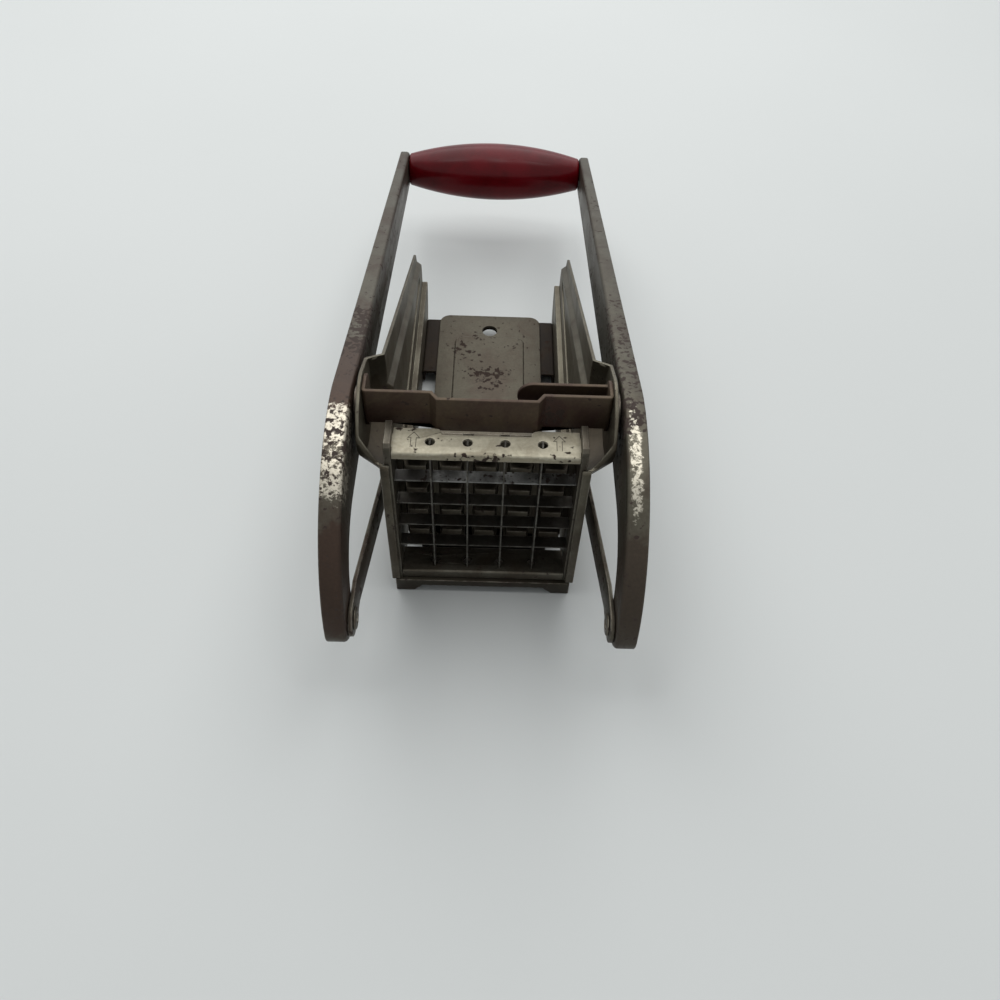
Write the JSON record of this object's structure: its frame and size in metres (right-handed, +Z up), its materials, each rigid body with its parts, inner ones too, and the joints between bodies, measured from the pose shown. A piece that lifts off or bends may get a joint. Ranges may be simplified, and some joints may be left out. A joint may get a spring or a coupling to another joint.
{
  "type": "french fry cutter",
  "caption": "Hand-lever french fry cutter: a handle on two pressed arms drives a studded pusher through links against a lift-out grid of crossed blades.",
  "frame": {"origin": "on the table, under the middle of the tool's bounding box", "axes": "+Z up, +Y from the cutting grid back towards the grip, +X to the right as seen from the grid's open side"},
  "size_m": [0.1006, 0.2836, 0.0918],
  "materials": {
    "arm_steel": "old nickel plate, worn bright along the edges, with brown tarnish and dark rust pits",
    "side_steel": "old nickel plate, dull warm grey with scratches",
    "cover_steel": "old nickel plate, light, finely speckled",
    "cartridge_steel": "old nickel plate, dull",
    "blade_steel": "thin steel strip, stained",
    "strap_steel": "reddish-brown tarnish with a bright top edge",
    "bridge_steel": "brown rust film",
    "base_steel": "old nickel plate with rust specks",
    "red_wood": "deep red gloss paint",
    "link_steel": "old plate, dark with rust spots",
    "pusher_steel": "dull dark steel",
    "rivet_steel": "worn rivet heads"
  },
  "bodies": {
    "frame": {"side_plate_right": "side_steel", "side_plate_left": "side_steel", "bottom_pan": "base_steel", "base_plate": "base_steel", "rear_bridge": "bridge_steel", "retaining_strap": "strap_steel", "pivot_rivet_right": "rivet_steel", "pivot_rivet_left": "rivet_steel", "pivot_washer_right": "rivet_steel", "pivot_washer_left": "rivet_steel"},
    "lever": {"lever_arm_right": "arm_steel", "lever_arm_left": "arm_steel", "grip_rod": "rivet_steel", "crank_rivet_right": "rivet_steel", "crank_rivet_left": "rivet_steel"},
    "grip": {"grip": "red_wood"},
    "link_right": {"link_right": "link_steel", "rod_rivet_right": "rivet_steel"},
    "link_left": {"link_left": "link_steel", "rod_rivet_left": "rivet_steel"},
    "pusher": {"pusher_head": "pusher_steel", "pusher_carriage": "pusher_steel", "pusher_rivets": "rivet_steel", "pusher_rod": "rivet_steel"},
    "cartridge": {"cartridge_cover": "cover_steel", "cartridge_floor": "cartridge_steel", "cartridge_side_right": "cartridge_steel", "cartridge_side_left": "cartridge_steel", "upright_blade_1": "blade_steel", "upright_blade_2": "blade_steel", "upright_blade_3": "blade_steel", "upright_blade_4": "blade_steel", "cross_blade_1": "blade_steel", "cross_blade_2": "blade_steel", "cross_blade_3": "blade_steel", "cross_blade_4": "blade_steel"}
  },
  "joints": [
    {"name": "lever_swing", "type": "hinge", "parent": "frame", "child": "lever", "pos_m": [0, -0.0792, 0.0795], "axis": [1, 0, 0], "range_deg": [0, 100]},
    {"name": "grip_spin", "type": "hinge", "parent": "lever", "child": "grip", "pos_m": [0, 0.1283, 0.0403], "axis": [1, 0, 0], "continuous": true},
    {"name": "link_right_turn", "type": "hinge", "parent": "lever", "child": "link_right", "pos_m": [0.043, -0.134, 0.0365], "axis": [1, 0, 0], "range_deg": [-97.3, 0]},
    {"name": "link_left_turn", "type": "hinge", "parent": "lever", "child": "link_left", "pos_m": [-0.043, -0.134, 0.0365], "axis": [1, 0, 0], "range_deg": [-97.3, 0]},
    {"name": "pusher_slide", "type": "slide", "parent": "frame", "child": "pusher", "axis": [0, 1, 0], "range_m": [0, 0.1069]},
    {"name": "cartridge_lift", "type": "slide", "parent": "frame", "child": "cartridge", "axis": [0, 0, 1], "range_m": [0, 0.085]}
  ],
  "couplings": [
    {"joint": "link_right_turn", "follows": "lever_swing", "ratio": -0.97267},
    {"joint": "link_left_turn", "follows": "lever_swing", "ratio": -0.97267},
    {"joint": "pusher_slide", "follows": "lever_swing", "m_per_rad": 0.061188}
  ]
}
